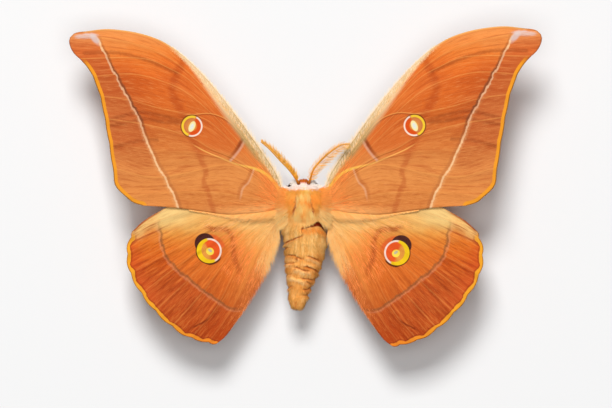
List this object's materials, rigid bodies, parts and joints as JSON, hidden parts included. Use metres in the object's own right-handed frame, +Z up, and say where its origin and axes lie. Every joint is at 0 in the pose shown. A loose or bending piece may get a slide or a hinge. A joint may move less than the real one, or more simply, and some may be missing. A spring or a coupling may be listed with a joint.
{
  "type": "oak silk moth display specimen",
  "caption": "Life-size spread oak silk moth with broad orange wings, comb-like feelers and a furry body, held over a small flat stand.",
  "frame": {"origin": "on the underside of the stand's base, straight below the middle of the thorax", "axes": "+Z up, +Y towards the moth's head, +X towards the moth's right wings"},
  "size_m": [0.1407, 0.096, 0.0253],
  "materials": {
    "fur_head": "short dense orange-brown hair",
    "eye": "dark glossy compound eye",
    "antenna": "dull yellow-brown horny comb",
    "fur_thorax": "dense orange-yellow hair with a pale collar",
    "fur_abdomen": "dense straw to brown hair in bands",
    "wing_fore": "matt orange-brown scales with a clear-centred eyespot and a pale line",
    "wing_hind": "matt orange to red-brown scales with a black-edged eyespot",
    "leg": "brown hair over horny limbs",
    "stand": "matt pale grey",
    "rod": "satin"
  },
  "bodies": {
    "root": {"head": "fur_head", "eye_left": "eye", "eye_right": "eye", "antenna_left": "antenna", "antenna_right": "antenna", "thorax": "fur_thorax", "abdomen": "fur_abdomen", "forewing_left": "wing_fore", "forewing_right": "wing_fore", "hindwing_left": "wing_hind", "hindwing_right": "wing_hind", "leg_front_left": "leg", "leg_front_right": "leg", "leg_middle_left": "leg", "leg_middle_right": "leg", "leg_hind_left": "leg", "leg_hind_right": "leg", "stand_base": "stand", "stand_rod": "rod"}
  },
  "joints": []
}
